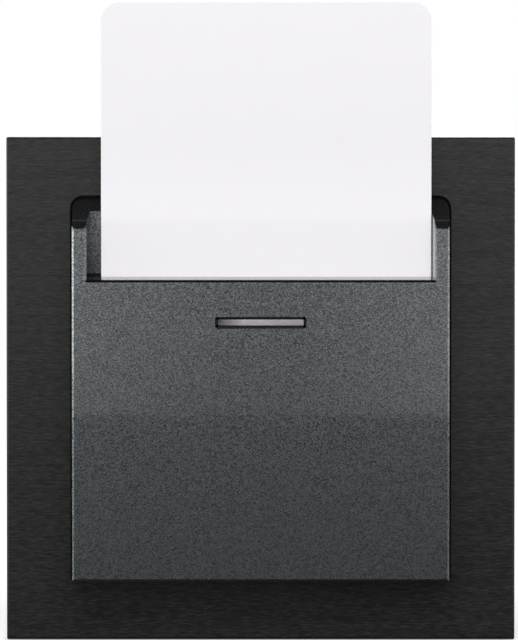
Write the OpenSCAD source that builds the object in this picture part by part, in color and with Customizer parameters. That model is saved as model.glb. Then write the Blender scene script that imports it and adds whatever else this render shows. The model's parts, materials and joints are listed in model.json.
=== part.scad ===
// Room switch worked by a key card: frame, card pocket and flush insert with a changeover contact.
// Millimetres. The origin is the frame's centre on the wall, X to the right, Y into the wall, Z up.

/* [Card] */
// Width of the card
card_w = 53.98; // [50:0.01:56]
// Height of the card
card_h = 85.6; // [80:0.1:92]
// Thickness of the card
card_t = 0.76; // [0.6:0.02:1]
// Radius of the card's corners
card_r = 3.18; // [2:0.02:5]
// Shift of the card towards the right end of its slot
card_shift = 0.9; // [0:0.05:0.95]
// Distance of the card's lower edge below the centre
card_low = 22; // [20:0.25:22.5]

/* [Card slot] */
// Play of the card across the slot, both sides together
slot_side_play = 2.02; // [2:0.02:3]
// Play of the card in the slot's depth, both faces together
slot_depth_play = 1.04; // [0.8:0.02:1.4]
// Widening of the slot's mouth at the front, each side
mouth_flare = 0.55; // [0.2:0.05:1]

/* [Cover] */
// Height of the cover
cover_h = 62.4; // [60:0.2:66]
// Width of the cheek on each side of the slot
ear_w = 2.8; // [2.4:0.1:4]
// Depth by which the cover stands in front of the frame
cover_proud = 8; // [7.6:0.1:10]
// Thickness of the wall in front of the card
front_wall = 2.2; // [1.8:0.1:2.6]
// Thickness of the cover's side, floor and roof
cover_wall = 1.6; // [1.2:0.1:2]
// Fall of the ear's top from the frame's face to its bevel
ear_drop = 3.3; // [2:0.1:5]
// Depth of the bevel at the ear's front
ear_bevel = 1; // [0.6:0.1:2]
// Fall of the bevel at the ear's front
ear_bevel_drop = 1.35; // [0.6:0.05:2.5]
// Radius of the cover's upper corners
ear_r = 1.6; // [0.8:0.1:3]
// Distance of the front wall's rim below the cover's top
rim_drop = 13.1; // [10:0.1:18]
// Rise of the rim from the front face to the slot
rim_rise = 0.5; // [0.2:0.1:1.5]
// Height of the back wall that shows behind the card, from the cover's top
back_wall_h = 12.1; // [9:0.1:14]
// Thickness of that back wall
back_wall_t = 1.6; // [1.2:0.1:2]
// Radius of the rounded edges round the notch
notch_r = 0.6; // [0.2:0.05:0.8]
// Bevel at the foot of the front face
foot_bevel = 0.45; // [0.2:0.05:1]
// Bevel at the upright edges of the front face
edge_bevel = 0.3; // [0.1:0.05:0.8]

/* [Light guide] */
// Width of the light guide's bar
guide_w = 14.2; // [10:0.1:18]
// Height of the light guide's bar
guide_h = 1.2; // [0.8:0.1:2]
// Gap between the bar and its hole
guide_gap = 0.3; // [0.1:0.05:0.4]
// Distance of the bar below the rim
guide_drop = 6.9; // [4:0.1:9]
// Width of the flange around the bar
guide_flange = 1.2; // [0.8:0.1:2]
// Thickness of the flange
guide_flange_t = 0.8; // [0.5:0.1:1.2]

/* [Frame] */
// Width of the frame beside the cover
frame_border_x = 10.55; // [9:0.05:14]
// Width of the frame above and below the cover
frame_border_z = 9.7; // [9:0.1:14]
// Depth of the frame from the wall to its face
frame_depth = 8; // [7.6:0.1:10]
// Thickness of the front plate
plate_t = 1.6; // [1:0.1:2]
// Bevel around the front plate
plate_bevel = 0.35; // [0.1:0.05:0.8]
// Gap between frame and cover
frame_gap = 0.4; // [0.1:0.05:0.5]
// Step by which the carrier is smaller than the plate, each side
carrier_inset = 0.4; // [0.2:0.1:1]
// Thickness of the carrier's walls
carrier_wall = 1.6; // [1.2:0.1:2]
// Depth of the cover's seat behind the plate
seat_depth = 2; // [1.6:0.1:2.2]
// Thickness of the ledge under the cover's edge
ledge_t = 1.2; // [0.8:0.1:1.2]
// Reach of the ledge under the cover's edge
ledge_reach = 2.3; // [1.8:0.1:2.6]
// Distance between the carrier's gussets
gusset_pitch = 22; // [14:1:26]
// Thickness of the carrier's gussets
gusset_t = 1.2; // [0.8:0.1:2]

/* [Pocket back] */
// Thickness of the guide plate
pocket_t = 1.4; // [1:0.1:1.6]
// Thickness of a guide rib
rib_t = 1.2; // [0.8:0.1:1.6]
// Distance between guide ribs
rib_pitch = 6; // [5.8:0.1:6.4]
// Distance of the first guide rib from the middle
rib_start = 11; // [9.5:0.1:11.5]
// Thickness of a snap hook's arm
hook_t = 1.2; // [0.8:0.1:1.4]
// Width of a snap hook
hook_w = 6; // [4:0.5:8]
// Height of the snap hooks above and below the middle
hook_z = 20; // [18:0.5:23]
// Distance of a snap hook's arm from the slot's end
hook_inset = 2; // [1.8:0.1:2.4]
// Catch of a snap hook behind the ring
hook_catch = 0.7; // [0.4:0.1:0.9]
// Thickness of the leaf springs that grip the card
grip_t = 0.3; // [0.2:0.05:0.4]
// Width of the leaf springs
grip_w = 3.6; // [2.6:0.1:3.8]
// Gap between a leaf spring and the card
grip_gap = 0.15; // [0.05:0.05:0.3]

/* [Insert] */
// Side of the mounting ring
ring_w = 71; // [70:0.5:72]
// Thickness of the mounting ring
ring_t = 1; // [0.8:0.1:1.2]
// Radius of the ring's corners
ring_r = 4; // [2:0.5:7]
// Width of the ring's opening
ring_open_w = 36; // [34:0.5:36.5]
// Height of the ring's opening
ring_open_h = 33; // [31:0.5:33.5]
// Distance between opposite box screws
box_pitch = 60; // [59:0.5:61]
// Radius of the box-screw slots
box_slot_r = 1.75; // [1.5:0.05:2]
// Length of the box-screw slots
box_slot_len = 6.5; // [5:0.5:7]
// Width of the housing
housing_w = 46; // [45.5:0.5:46.5]
// Height of the housing
housing_h = 50; // [49.5:0.5:51.5]
// Radius that trims the housing's corners to the box
housing_r = 28; // [28:0.1:28.5]
// Depth of the housing in the box
housing_d = 26; // [26:0.5:32]
// Thickness of the housing's walls
housing_wall = 1.6; // [1.4:0.1:1.8]
// Thickness of the lid
lid_t = 2; // [1.6:0.1:2.2]
// Angle of the assembly screws above and below the middle
assembly_angle = 49; // [48.5:0.25:49.5]
// Radius of the assembly screws
assembly_r = 1.2; // [1:0.05:1.25]

/* [Slider] */
// Switching travel of the slider
travel = 4; // [3.4:0.1:4.2]
// Width of the slider between its wings
slider_w = 18; // [16:0.5:18.5]
// Width of a slider's wing
wing_w = 2; // [1.5:0.1:2.2]
// Thickness of a slider's wing
wing_t = 1.6; // [1.2:0.1:1.8]
// Width of the step that the card stands on
step_w = 11; // [8:0.5:12]
// Running gap around the slider
run_gap = 0.3; // [0.2:0.05:0.35]
// Thickness of a rail's lip
lip_t = 1.4; // [1:0.1:1.5]
// Thickness of a rail's side wall
rail_t = 1.6; // [1.2:0.1:1.8]
// Height of the pads that the slider runs on
pad_h = 1.3; // [1:0.1:1.4]
// Radius of the return spring, to the middle of its wire
spring_r = 1.35; // [1.2:0.05:1.4]
// Radius of the spring's wire
wire_r = 0.22; // [0.15:0.01:0.25]
// Length of the spring with the card in
spring_len = 11; // [9:0.25:11.5]
// Turns of the spring
spring_turns = 9; // [6:1:10]

/* [Rocker] */
// Depth of the rocker's pivot behind the wall
pivot_y = 4.4; // [4.2:0.1:4.8]
// Depth from the pivot forward to the rocker's nose
nose_arm = 8; // [7.8:0.1:8.3]
// Distance of the pivot below the centre
pivot_low = 4; // [3.6:0.1:4.4]
// Radius of the rocker's nose
nose_r = 1.2; // [1:0.05:1.4]
// Play of the nose in the slider's fork
fork_play = 0.1; // [0.06:0.02:0.2]
// Thickness of a fork prong
prong_t = 1.5; // [1.2:0.1:1.8]
// Radius of the rocker's pin
pin_r = 1.2; // [1:0.05:1.4]
// Running clearance of the rocker on its pin
pin_run = 0.05; // [0.03:0.01:0.08]
// Radius of the rocker's hub
hub_r = 2.6; // [2.4:0.1:2.8]
// Half width of the rocker's hub
hub_half = 3.3; // [3:0.1:3.4]
// Distance from the pivot back to the contact
contact_arm = 9.5; // [9:0.1:10]
// Radius of the contact rivets
rivet_r = 1.5; // [1.2:0.1:1.6]
// Height of the moving contact's rivet from the strip's middle
rivet_h = 1.1; // [0.9:0.1:1.2]
// Gap between closed contacts
contact_gap = 0.1; // [0.05:0.01:0.15]

/* [Terminals] */
// Thickness of the contact strips
strip_t = 0.6; // [0.4:0.1:0.7]
// Width of the contact strips
strip_w = 5; // [4:0.25:5.5]
// Sideways place of the terminals
term_x = 9; // [8.8:0.1:9.2]
// Width of a terminal's wire room
cage_w = 5.8; // [5.6:0.1:6]
// Height of a terminal's wire room
cage_h = 4.6; // [4.4:0.1:4.8]
// Thickness of a terminal's cage
cage_t = 0.8; // [0.6:0.1:0.9]
// Thickness of the cage under the screw's head
cage_thread = 1.6; // [1.2:0.1:1.8]
// Depth of a terminal's cage
cage_d = 6.5; // [5.5:0.25:6.5]
// Radius of the terminal screws
term_screw_r = 1.5; // [1.2:0.1:1.6]
// Side of the square wire entry
wire_hole = 3.6; // [3:0.1:3.8]

/* [Lamp] */
// Width of the lamp board
board_w = 20; // [18:0.5:24]
// Height of the lamp board
board_h = 8; // [7:0.25:8.5]
// Thickness of the lamp board
board_t = 1; // [0.8:0.1:1.6]
// Radius of the lamp
led_r = 1.5; // [1.2:0.1:1.8]
// Length of the lamp to its tip
led_len = 4; // [3:0.1:4.4]
// Thickness of the lamp's feed strips
feed_t = 0.5; // [0.3:0.05:0.6]
// Width of the lamp's feed strips
feed_w = 2; // [1.5:0.1:2.4]

/* [Claws] */
// Sideways place of the claws' pins
claw_x = 25.4; // [25.2:0.1:25.8]
// Depth of the claws' pins behind the wall
claw_y = 2.4; // [2.3:0.05:2.6]
// Radius of the claws' pins
claw_pin_r = 1; // [0.8:0.05:1.05]
// Outer radius of a claw's rolled eye
claw_eye_r = 2; // [1.8:0.05:2]
// Half width of a claw
claw_half = 5; // [4.2:0.1:5.4]
// Thickness of a claw's sheet
claw_t = 1; // [0.8:0.05:1.1]
// Reach of a claw into the box
claw_len = 17; // [14:0.5:20]
// Length of a claw's teeth
tooth_len = 1.8; // [1:0.1:2]
// Sideways place of the claw screws
claw_screw_x = 21.6; // [21.5:0.05:21.8]
// Radius of the claw screws
claw_screw_r = 1.5; // [1.3:0.05:1.6]

/* [Hidden] */
$fn = 64;

// Overshoot of a cut past the face it opens
over = 0.1;
// Clearance of pieces that are pushed or pressed together
fit = 0.02;
// Clearance of plates that drop into a recess
drop_fit = 0.1;
// Clearance of screws in the holes they pass through
screw_gap = 0.15;
// Air between pieces that only lie side by side
air = 0.3;
// Share of a screw head's thickness that its slot cuts
slot_share = 0.5;

// Depth planes from the front to the wall
y_face = -frame_depth;
y_carrier = y_face + plate_t;
y_seat = y_carrier + seat_depth;
y_ledge = y_seat + ledge_t;
y_front = y_face - cover_proud;
y_slot = y_front + front_wall;
y_back = y_slot + card_t + slot_depth_play;
y_pocket = y_back + back_wall_t;
y_pocket_rear = y_pocket + pocket_t;
y_ring = -ring_t;
y_lid = y_ring - lid_t;
y_card = (y_slot + y_back) / 2;

// Cover
slot_w = card_w + slot_side_play;
cover_w = slot_w + 2 * ear_w;
cover_top = cover_h / 2;
inner_w = cover_w - 2 * cover_wall;
z_floor = cover_wall - cover_top;
z_rim = cover_top - rim_drop;
z_back = cover_top - back_wall_h;
z_card = -card_low;
z_guide = z_rim - guide_drop;
ear_slope = ear_drop / (cover_proud - ear_bevel);
function ear_z(y) = cover_top - ear_slope * (y_face - y);
z_roof = ear_z(y_pocket) - cover_wall;
z_ear = cover_top - ear_drop;
nub = 0.5;
nub_w = 8;
nub_z = 10;
nub_depth = 1;
edge_steps = 4;

// Frame
frame_w = cover_w + 2 * frame_gap + 2 * frame_border_x;
frame_h = cover_h + 2 * frame_gap + 2 * frame_border_z;
carrier_w = frame_w - 2 * carrier_inset;
carrier_h = frame_h - 2 * carrier_inset;
hollow_w = carrier_w - 2 * carrier_wall;
hollow_h = carrier_h - 2 * carrier_wall;
collar = frame_gap + carrier_wall;
gusset_foot = 0.6;

// Pocket back
hook_x = slot_w / 2 - hook_inset;
hook_tip = 1.4;
hook_nose = 0.3;
hook_play = 0.15;
rib_lead = 1.4;
z_rib = z_back - rib_lead;
z_pocket = z_floor + drop_fit;
ribs = 3;
grip_x = rib_start + rib_pitch / 2;
grip_seat = 6;
grip_arm = 8;
grip_top = 4;
hook_slot_w = hook_t + hook_catch + 2 * air;
hook_slot_middle = hook_x + (hook_t + hook_catch) / 2;

// Insert
recess_room = 2.2;
recess_h = 16.8;
x_recess = claw_screw_x - recess_room;
screw_head_r = 2.1;
screw_head_t = 1.6;
screw_slot = 0.6;
boss_wall = 1.3;
boss_r = assembly_r + boss_wall;
boss_len = 10;
boss_inset = 0.35;
screw_len = 12;
assembly_reach = housing_r - boss_r - boss_inset;
assembly_x = assembly_reach * cos(assembly_angle);
assembly_z = assembly_reach * sin(assembly_angle);
function inner_top(x) = min(housing_h / 2 - housing_wall, sqrt(pow(housing_r - housing_wall, 2) - x * x));

// Slider
y_slider = y_pocket_rear + run_gap;
y_slider_rear = y_lid - pad_h - run_gap;
rail_in = slider_w / 2 + run_gap;
rail_out = rail_in + wing_w;
rail_edge = rail_out + rail_t;
y_wing = y_slider_rear - wing_t;
y_lip = y_wing - run_gap;
rail_foot = 1;
z_pivot = -pivot_low;
z_fork = z_pivot - travel / 2;
fork_gap = 2 * nose_r + fork_play;
slider_head = 3.75;
z_slider_top = z_fork + fork_gap / 2 + prong_t + slider_head;
step_t = 1.6;
step_root = 3.8;
step_clear = 0.3;
window_side = 0.5;
window_end = 1;
slider_toe = 0.2;
z_slider_low = z_card - step_root - slider_toe;
post_t = 1.5;
post_half = 1.6;
post_edge = 1;
stud_len = 1.4;
stud_r = 0.8;
z_seat = post_t + post_edge - housing_h / 2;
z_spring = z_seat + spring_len;
pocket_half = spring_r + wire_r + air;
spring_sunk = 0.18;
spring_front = 0.15;
y_spring = y_slider_rear - spring_r - wire_r - spring_sunk;
y_spring_room = y_spring - spring_r - wire_r - spring_front;
wire_sides = 6;
curl_rings = 8;

// Rocker
rocker_angle = asin(travel / 2 / nose_arm);
nose_y = pivot_y - nose_arm * cos(rocker_angle);
prong_half = 3;
prong_reach = 0.75;
nose_half = 2.6;
arm_root = 1.8;
arm_tip = 0.8;
cheek_gap = 0.5;
cheek_t = 1.8;
cheek_in = hub_half + cheek_gap;
cheek_out = cheek_in + cheek_t;
cheek_r = 3;
fork_room = 0.5;
window_z = fork_gap / 2 + prong_t + fork_room;
snug = 0.05;
rest_len = 7;
rest_t = 1.55;
arc_t = 0.5;
arc_in = hub_r + snug;
arc_out = arc_in + arc_t;
arc_sweep = 125;
moving_half = 2;
moving_len = 12;
moving_t = 0.6;
fixed_rivet = 0.7;
fixed_h = rivet_h + contact_gap + fixed_rivet + strip_t / 2;
fixed_lead = 2.1;
fixed_tail = 2.7;
common_lead = 1.8;
common_tail = 2;

// Terminals
y_rear = housing_d - housing_wall;
y_cage_end = y_rear - drop_fit;
y_cage = y_cage_end - cage_d;
y_term_screw = y_cage + cage_d / 2;
head_room = 0.2;
head_free = 1;
term_head_r = 2.3;
term_head_t = 1.8;
access_r = 1.9;
z_cage_top = inner_top(term_x + term_head_r) - head_free - term_head_t - head_room;
z_room = z_cage_top - cage_thread - cage_h;
z_cage = z_room - cage_t;
z_tongue = z_room + snug + strip_t / 2;
tongue_w = 5.4;
tongue_end = 0.6;
z_feed = z_tongue + strip_t / 2 + snug + feed_t / 2;
z_wire = z_room + cage_h / 2 + air;
wall_rib = 1;

// Lamp
y_board = y_lid - board_t;
feed_x = 7.4;
feed_y = 2;
led_flange = 0.35;
led_flange_r = led_r + led_flange;
led_flange_t = 0.8;

// Claws
lug_t = 1;
lug_gap = 0.3;
lug_r = 2;
tongue_past = 1.6;
tongue_in = claw_screw_x - tongue_past;
claw_tongue_half = 2.6;
tooth_half = 2;
claw_head_r = 2.6;
claw_head_t = 1.9;
notch_gap = 0.4;

// Box between two corners given as ranges
module span(x, y, z) {
    translate([x[0], y[0], z[0]]) cube([x[1] - x[0], y[1] - y[0], z[1] - z[0]]);
}

// Outline in X and Z carried along Y
module along_y(y0, y1) {
    translate([0, y1, 0]) rotate([90, 0, 0]) linear_extrude(y1 - y0) children();
}

// Outline in Y and Z carried along X
module along_x(x0, x1) {
    translate([x0, 0, 0]) rotate([90, 0, 90]) linear_extrude(x1 - x0) children();
}

// Outline in X and Y carried along Z
module along_z(z0, z1) {
    translate([0, 0, z0]) linear_extrude(z1 - z0) children();
}

// Left and right copy
module both_sides() {
    children();
    mirror([1, 0, 0]) children();
}

// Upper and lower copy
module both_ends() {
    children();
    mirror([0, 0, 1]) children();
}

// Rectangle with true round corners
module round_rect(w, h, r) {
    square([w - 2 * r, h], center = true);
    square([w, h - 2 * r], center = true);
    for (x = [-1, 1], y = [-1, 1])
        translate([x * (w / 2 - r), y * (h / 2 - r)]) circle(r);
}

// Slot with round ends along the first axis
module round_slot(len, r) {
    square([len - 2 * r, 2 * r], center = true);
    for (x = [-1, 1])
        translate([x * (len / 2 - r), 0]) circle(r);
}

// Strip of even thickness along a bent path
function ahead(p, i) = i < len(p) - 1 ? (p[i + 1] - p[i]) / norm(p[i + 1] - p[i]) : ahead(p, i - 1);
function behind(p, i) = i > 0 ? ahead(p, i - 1) : ahead(p, 0);
function turned(v) = [-v[1], v[0]];
function mitre(p, i) = turned(ahead(p, i)) + turned(behind(p, i));
function beside(p, i, h) = p[i] + mitre(p, i) * h / (mitre(p, i) * turned(ahead(p, i)));
module bent_strip(p, t) {
    last = len(p) - 1;
    polygon(concat(
        [for (i = [0 : last]) beside(p, i, t / 2)],
        [for (i = [0 : last]) beside(p, last - i, -t / 2)]
    ));
}

// Slotted screw along Y with its head towards the viewer
module slotted_screw(y_head, head_r, head_t, r, len) {
    difference() {
        union() {
            along_y(y_head - head_t, y_head) circle(head_r);
            along_y(y_head - head_t / 2, y_head + len) circle(r);
        }
        span([-head_r, head_r], [y_head - head_t - over, y_head - head_t * slot_share],
             [-screw_slot / 2, screw_slot / 2]);
    }
}

// Cover's outline seen from the front, grown by a gap
module cover_outline(grow) {
    half = cover_w / 2 + grow;
    top = cover_top + grow;
    r = ear_r + grow;
    translate([-half, -top]) square([2 * half, 2 * top - r]);
    translate([r - half, 0]) square([2 * half - 2 * r, top]);
    for (x = [-1, 1])
        translate([x * (half - r), top - r]) circle(r);
}

// Black front plate of the frame
module frame_plate() color("#2b2a2a") difference() {
    intersection() {
        along_x(-frame_w / 2, frame_w / 2) bevelled(frame_h / 2);
        along_z(-frame_h / 2, frame_h / 2) mirror([1, -1]) bevelled(frame_w / 2);
    }
    along_y(y_face - over, y_carrier + over) cover_outline(frame_gap);
}

// Section through the plate with its front edges bevelled
module bevelled(half) {
    polygon([
        [y_carrier, -half], [y_face + plate_bevel, -half], [y_face, plate_bevel - half],
        [y_face, half - plate_bevel], [y_face + plate_bevel, half], [y_carrier, half]
    ]);
}

// Plastic frame behind the plate, with the ledge that the cover sits on
module frame_carrier() color("#1f1f20") {
    difference() {
        span([-carrier_w / 2, carrier_w / 2], [y_carrier, 0], [-carrier_h / 2, carrier_h / 2]);
        along_y(y_carrier + carrier_wall, over) difference() {
            square([hollow_w, hollow_h], center = true);
            square([cover_w + 2 * collar, cover_h + 2 * collar], center = true);
        }
        span([-hollow_w / 2, hollow_w / 2], [y_ledge, over], [-hollow_h / 2, hollow_h / 2]);
        along_y(y_carrier - over, y_seat) cover_outline(frame_gap);
        along_y(y_seat - over, y_ledge + over)
            square([cover_w - 2 * ledge_reach, cover_h - 2 * ledge_reach], center = true);
    }
    for (i = [-1 : 1]) {
        both_sides() gusset(hollow_w, i * gusset_pitch);
        both_ends() rotate([0, -90, 0]) gusset(hollow_h, i * gusset_pitch);
    }
}

// Gusset between the carrier's wall and its front panel
module gusset(room, place) {
    foot = room / 2 + carrier_wall / 2;
    reach = ring_w / 2 + air;
    y_panel = y_carrier + carrier_wall / 2;
    along_z(place - gusset_t / 2, place + gusset_t / 2)
        polygon([[foot, y_panel], [reach, y_panel], [reach, y_ledge], [foot, -gusset_foot]]);
}

// Cover with ears, notch, card slot and back wall
module card_cover() color("#484b4e") {
    difference() {
        intersection() {
            along_x(-cover_w / 2, cover_w / 2) cover_side();
            along_y(y_front - over, y_seat) cover_outline(0);
            along_z(-cover_h, cover_h) cover_plan();
        }
        span([-slot_w / 2, slot_w / 2], [y_slot, y_back + over], [z_floor, cover_h]);
        span([-slot_w / 2, slot_w / 2], [y_back, y_pocket + over], [z_floor, z_back]);
        span([-inner_w / 2, inner_w / 2], [y_pocket, y_seat + over], [z_floor, z_roof]);
        notch();
        guide_hole();
    }
    both_sides() both_ends() retaining_nub();
}

// Side view of the cover
module cover_side() {
    polygon([
        [y_seat, -cover_top], [y_front + foot_bevel, -cover_top], [y_front, foot_bevel - cover_top],
        [y_front, z_ear - ear_bevel_drop], [y_front + ear_bevel, z_ear], [y_face, cover_top],
        [y_seat, cover_top]
    ]);
}

// Plan of the cover
module cover_plan() {
    half = cover_w / 2;
    polygon([
        [-half, y_seat], [-half, y_front + edge_bevel], [edge_bevel - half, y_front],
        [half - edge_bevel, y_front], [half, y_front + edge_bevel], [half, y_seat]
    ]);
}

// Points of the rounded edge between an upright face and a slope that rises behind it
function rounded_edge(corner, slope, r) = let (
    middle = corner + r * [1, slope - sqrt(1 + slope * slope)],
    turn = (90 - atan(slope)) / edge_steps
) [for (i = [0 : edge_steps]) middle + r * [-cos(i * turn), sin(i * turn)]];

// Notch between the ears, with flared sides, a sloping rim and rounded edges
module notch() {
    slot = slot_w / 2;
    y_mouth = y_card - card_t / 2;
    cheek = rounded_edge([y_front, -slot - mouth_flare], mouth_flare / (y_mouth - y_front), notch_r);
    rim = rounded_edge([y_front, z_rim], rim_rise / front_wall, notch_r);
    crest = rounded_edge([y_back, ear_z(y_back)], ear_slope, notch_r);
    clear = 2 * crest[edge_steps] - crest[edge_steps - 1];
    z_slot = z_rim + rim_rise / front_wall * (y_back - y_front);
    intersection() {
        along_z(0, cover_h) polygon(concat(
            [[cheek[0].y, y_front - over]], [for (p = cheek) [p.y, p.x]],
            [[-slot, y_mouth], [-slot, y_pocket], [slot, y_pocket], [slot, y_mouth]],
            [for (i = [edge_steps : -1 : 0]) [-cheek[i].y, cheek[i].x]], [[-cheek[0].y, y_front - over]]
        ));
        along_x(-cover_w, cover_w) polygon(concat(
            [[y_front - over, rim[0].y]], rim, [[y_back, z_slot]], crest,
            [clear, [clear.x, cover_h], [y_front - over, cover_h]]
        ));
    }
}

// Hole for the light guide with the recess for its flange
module guide_hole() {
    hole_h = guide_h + 2 * guide_gap;
    hole_w = guide_w + 2 * guide_gap;
    flange = 2 * guide_flange + 2 * guide_gap;
    translate([0, 0, z_guide]) {
        along_y(y_front - over, y_slot) round_rect(hole_w, hole_h, guide_gap);
        along_y(y_slot - guide_flange_t, y_slot + over)
            square([guide_w + flange, guide_h + flange], center = true);
    }
}

// Wedge on the cover's side wall that holds the guide plate
module retaining_nub() {
    wall = inner_w / 2;
    y0 = y_pocket_rear + fit;
    along_z(nub_z - nub_w / 2, nub_z + nub_w / 2)
        polygon([[wall + nub, y0], [wall - nub, y0], [wall, y0 + nub_depth], [wall + nub, y0 + nub_depth]]);
}

// Clear bar of the orientation lamp
module light_guide() color("#b9b5ba") translate([0, 0, z_guide]) {
    along_y(y_front, y_slot - fit) round_rect(guide_w, guide_h, guide_gap);
    along_y(y_slot - guide_flange_t + fit, y_slot - fit)
        square([guide_w + 2 * guide_flange, guide_h + 2 * guide_flange], center = true);
}

// Guide plate behind the card, with ribs in front and snap hooks behind
module pocket_back() color("#2c2d2f") {
    half = inner_w / 2 - drop_fit;
    difference() {
        span([-half, half], [y_pocket, y_pocket_rear], [z_pocket, z_roof - drop_fit]);
        span([-step_w / 2 - window_side, step_w / 2 + window_side], [y_pocket - over, y_pocket_rear + over],
             [z_card - step_root - window_end, z_card + travel + window_end]);
        translate([0, 0, z_guide]) along_y(y_pocket - over, y_pocket_rear + over)
            square([guide_w + 2 * guide_flange, guide_h + 2 * guide_flange], center = true);
    }
    both_sides() {
        for (i = [0 : ribs - 1])
            guide_rib(rib_start + i * rib_pitch);
        both_ends() snap_hook();
    }
}

// Upright rib that the card slides on, with a lead-in at its top
module guide_rib(x) {
    along_x(x - rib_t / 2, x + rib_t / 2) polygon([
        [y_pocket + pocket_t / 2, z_pocket], [y_back, z_pocket], [y_back, z_rib - rib_lead],
        [y_pocket, z_rib], [y_pocket + pocket_t / 2, z_rib]
    ]);
}

// Hook that passes through the ring and catches behind it
module snap_hook() {
    arm = hook_x + hook_t;
    along_z(hook_z - hook_w / 2, hook_z + hook_w / 2) polygon([
        [hook_x, y_pocket_rear - pocket_t / 2], [arm, y_pocket_rear - pocket_t / 2], [arm, hook_play],
        [arm + hook_catch, hook_play], [arm + hook_catch, hook_play + hook_nose],
        [arm, hook_tip], [hook_x, hook_tip]
    ]);
}

// Two leaf springs between the ribs that hold the card
module card_grip_springs() color("#b5b8bb") both_sides() {
    y_flat = y_pocket - grip_t / 2;
    y_nose = y_card + card_t / 2 + grip_gap + grip_t / 2;
    along_x(grip_x - grip_w / 2, grip_x + grip_w / 2) bent_strip([
        [y_flat, grip_top], [y_flat, grip_top - grip_seat], [y_nose, grip_top - grip_seat - grip_arm],
        [y_flat - grip_t, grip_top - grip_seat - 2 * grip_arm]
    ], grip_t);
}

// Steel ring that is screwed or clawed to the wall box
module mounting_ring() color("#a7abae") {
    along_y(y_ring, 0) difference() {
        round_rect(ring_w, ring_w, ring_r);
        square([ring_open_w, ring_open_h], center = true);
        for (turn = [0 : 90 : 270])
            rotate(turn) translate([box_pitch / 2, 0]) round_slot(box_slot_len, box_slot_r);
        for (x = [-1, 1]) {
            translate([x * claw_screw_x, 0]) circle(claw_screw_r + fit);
            for (z = [-1, 1]) {
                translate([x * assembly_x, z * assembly_z]) circle(assembly_r + screw_gap);
                translate([x * hook_slot_middle, z * hook_z])
                    square([hook_slot_w, hook_w + 2 * air], center = true);
            }
        }
    }
    both_sides() both_ends() claw_lug();
}

// Bent lug of the ring that carries a claw's pin
module claw_lug() {
    z0 = claw_half + lug_gap;
    difference() {
        along_z(z0, z0 + lug_t) {
            translate([claw_x - lug_r, -ring_t / 2]) square([2 * lug_r, claw_y + ring_t / 2]);
            translate([claw_x, claw_y]) circle(lug_r);
        }
        along_z(z0 - over, z0 + lug_t + over) translate([claw_x, claw_y]) circle(claw_pin_r + fit);
    }
}

// Outline of the insert, trimmed to the round box
module insert_outline(wall) {
    intersection() {
        square([housing_w - 2 * wall, housing_h - 2 * wall], center = true);
        circle(housing_r - wall);
    }
}

// Outline of the housing with its side recesses for the claws
module housing_outline(wall) {
    difference() {
        insert_outline(wall);
        for (side = [0, 1])
            mirror([side, 0]) translate([x_recess - wall, -recess_h / 2 - wall])
                square([housing_w, recess_h + 2 * wall]);
    }
}

// Lid of the insert with the slider's rails, spring post and rocker cheeks
module base_lid() color("#d9d8d3") {
    difference() {
        union() {
            along_y(y_lid, y_ring) insert_outline(0);
            both_sides() rail();
            span([-post_half, post_half], [y_spring_room, y_lid + over], [z_seat - post_t, z_seat]);
            both_sides() cheek();
        }
        span([-cheek_in, cheek_in], [y_lid - over, y_ring + over],
             [z_fork - window_z, z_fork + travel + window_z]);
        both_sides() {
            claw_notch();
            feed_hole();
            both_ends() translate([assembly_x, 0, assembly_z])
                along_y(y_lid - over, y_ring + over) circle(assembly_r + screw_gap);
        }
        along_x(-cheek_out - over, cheek_out + over) translate([pivot_y, z_pivot]) circle(pin_r + fit);
    }
    translate([0, y_spring, z_seat - over]) cylinder(r = stud_r, h = stud_len + over);
}

// Rail that holds one wing of the slider
module rail() {
    along_z(rail_foot - housing_h / 2, z_slider_top + travel + air) polygon([
        [rail_edge, y_lid + over], [rail_edge, y_lip - lip_t], [rail_in, y_lip - lip_t], [rail_in, y_lip],
        [rail_out, y_lip], [rail_out, y_lid - pad_h], [rail_in, y_lid - pad_h], [rail_in, y_lid + over]
    ]);
}

// Cheek behind the lid that carries the rocker's pin
module cheek() {
    along_x(cheek_in, cheek_out) {
        translate([y_ring - over, z_pivot - cheek_r]) square([pivot_y - y_ring + over, 2 * cheek_r]);
        translate([pivot_y, z_pivot]) circle(cheek_r);
    }
}

// Room in the lid's edge for a claw screw's head
module claw_notch() {
    r = claw_head_r + notch_gap;
    translate([claw_screw_x, 0, 0]) along_y(y_lid - over, y_ring + over) {
        circle(r);
        translate([0, -r]) square([housing_w, 2 * r]);
    }
}

// Hole in the lid for a lamp's feed strip
module feed_hole() {
    side = feed_w / 2 + air / 2;
    end = feed_t / 2 + air;
    span([feed_x - side, feed_x + side], [y_lid - over, y_ring + over], [z_guide - end, z_guide + end]);
}

// Rear housing with screw bosses, terminal pockets, wire entries and screwdriver notches
module base_housing() color("#d3d2cd") {
    difference() {
        along_y(0, housing_d) housing_outline(0);
        along_y(-over, y_rear) housing_outline(housing_wall);
        both_sides() both_ends() {
            wire_entry();
            screw_access();
        }
    }
    both_sides() both_ends() {
        screw_boss();
        terminal_walls();
    }
}

// Square entry for a wire through the rear wall
module wire_entry() {
    half = wire_hole / 2;
    span([term_x - half, term_x + half], [y_rear - over, housing_d + over], [z_wire - half, z_wire + half]);
}

// Notch in the upper wall above a terminal's screw
module screw_access() {
    along_z(inner_top(term_x + access_r) - over, housing_h / 2 + over) {
        translate([term_x, y_term_screw]) circle(access_r);
        translate([term_x - access_r, y_term_screw]) square([2 * access_r, housing_d]);
    }
}

// Boss for an assembly screw
module screw_boss() {
    translate([assembly_x, 0, assembly_z]) difference() {
        along_y(0, boss_len) circle(boss_r);
        along_y(-over, boss_len + over) circle(assembly_r + fit);
    }
}

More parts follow.
